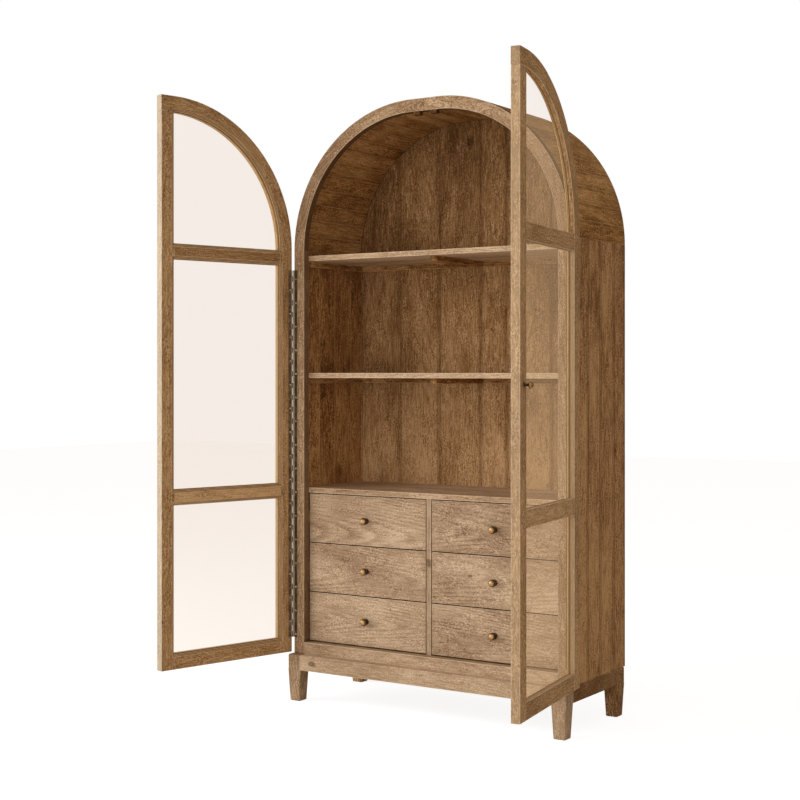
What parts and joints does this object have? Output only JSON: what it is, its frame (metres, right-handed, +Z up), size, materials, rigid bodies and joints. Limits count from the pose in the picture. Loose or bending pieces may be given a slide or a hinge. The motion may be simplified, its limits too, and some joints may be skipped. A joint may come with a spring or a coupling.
{
  "type": "arched glass-door display cabinet",
  "caption": "Tall arched display cabinet in solid wood with glazed double doors, open shelf bays and a block of drawers, on a low base with tapered legs.",
  "frame": {"origin": "on the floor, at the centre of the rectangle that the base covers", "axes": "+X to the cabinet's right as seen from the front, +Y to the rear, +Z up"},
  "size_m": [1.4627, 0.9795, 2.134],
  "materials": {
    "frame_wood": "matt oiled, light warm brown with fine grain",
    "inner_wood": "matt oiled, darker brown",
    "drawer_front_wood": "matt oiled, light tan with fine grain",
    "pane_glass": "clear flat glass",
    "hinge_bronze": "dark antique bronze",
    "drawer_knob_brass": "antique brass, rubbed lighter on the ball",
    "door_knob_bronze": "dark antique bronze"
  },
  "bodies": {
    "cabinet": {"leg_front_left": "frame_wood", "leg_front_right": "frame_wood", "leg_rear_left": "frame_wood", "leg_rear_right": "frame_wood", "front_apron": "frame_wood", "side_and_rear_aprons": "frame_wood", "vault": "inner_wood", "front_arch": "frame_wood", "bottom_rail": "frame_wood", "back_boards": "inner_wood", "bottom_board": "inner_wood", "top_shelf": "frame_wood", "middle_shelf": "frame_wood", "drawer_case_top": "frame_wood", "drawer_divider": "frame_wood", "shelf_supports": "inner_wood", "drawer_runners": "inner_wood", "door_catches": "door_knob_bronze", "left_side_panel": "inner_wood", "right_side_panel": "inner_wood", "left_front_stile": "frame_wood", "right_front_stile": "frame_wood", "left_hinge_frame_leaf": "hinge_bronze", "right_hinge_frame_leaf": "hinge_bronze"},
    "left_door": {"left_door_hinge_stile": "frame_wood", "left_door_meeting_stile": "frame_wood", "left_door_arch_rail": "frame_wood", "left_door_cross_rails": "frame_wood", "left_door_glass": "pane_glass", "left_door_glazing_beads": "frame_wood", "left_door_knob": "door_knob_bronze", "left_door_strike": "door_knob_bronze", "left_door_hinge_leaf": "hinge_bronze"},
    "right_door": {"right_door_hinge_stile": "frame_wood", "right_door_meeting_stile": "frame_wood", "right_door_arch_rail": "frame_wood", "right_door_cross_rails": "frame_wood", "right_door_glass": "pane_glass", "right_door_glazing_beads": "frame_wood", "right_door_knob": "door_knob_bronze", "right_door_strike": "door_knob_bronze", "right_door_hinge_leaf": "hinge_bronze"},
    "drawer_left_lower": {"drawer_left_lower_front": "drawer_front_wood", "drawer_left_lower_box": "inner_wood", "drawer_left_lower_knob": "drawer_knob_brass"},
    "drawer_left_middle": {"drawer_left_middle_front": "drawer_front_wood", "drawer_left_middle_box": "inner_wood", "drawer_left_middle_knob": "drawer_knob_brass"},
    "drawer_left_upper": {"drawer_left_upper_front": "drawer_front_wood", "drawer_left_upper_box": "inner_wood", "drawer_left_upper_knob": "drawer_knob_brass"},
    "drawer_right_lower": {"drawer_right_lower_front": "drawer_front_wood", "drawer_right_lower_box": "inner_wood", "drawer_right_lower_knob": "drawer_knob_brass"},
    "drawer_right_middle": {"drawer_right_middle_front": "drawer_front_wood", "drawer_right_middle_box": "inner_wood", "drawer_right_middle_knob": "drawer_knob_brass"},
    "drawer_right_upper": {"drawer_right_upper_front": "drawer_front_wood", "drawer_right_upper_box": "inner_wood", "drawer_right_upper_knob": "drawer_knob_brass"}
  },
  "joints": [
    {"name": "left_door_hinge", "type": "hinge", "parent": "cabinet", "child": "left_door", "pos_m": [-0.5625, -0.1915, 0.8925], "axis": [0, 0, -1], "range_deg": [-105.1, 64.9]},
    {"name": "right_door_hinge", "type": "hinge", "parent": "cabinet", "child": "right_door", "pos_m": [0.5625, -0.1915, 0.8925], "axis": [0, 0, 1], "range_deg": [-98.5, 71.5]},
    {"name": "drawer_left_lower_slide", "type": "slide", "parent": "cabinet", "child": "drawer_left_lower", "axis": [0, -1, 0], "range_m": [0, 0.28]},
    {"name": "drawer_left_middle_slide", "type": "slide", "parent": "cabinet", "child": "drawer_left_middle", "axis": [0, -1, 0], "range_m": [0, 0.28]},
    {"name": "drawer_left_upper_slide", "type": "slide", "parent": "cabinet", "child": "drawer_left_upper", "axis": [0, -1, 0], "range_m": [0, 0.28]},
    {"name": "drawer_right_lower_slide", "type": "slide", "parent": "cabinet", "child": "drawer_right_lower", "axis": [0, -1, 0], "range_m": [0, 0.28]},
    {"name": "drawer_right_middle_slide", "type": "slide", "parent": "cabinet", "child": "drawer_right_middle", "axis": [0, -1, 0], "range_m": [0, 0.28]},
    {"name": "drawer_right_upper_slide", "type": "slide", "parent": "cabinet", "child": "drawer_right_upper", "axis": [0, -1, 0], "range_m": [0, 0.28]}
  ]
}
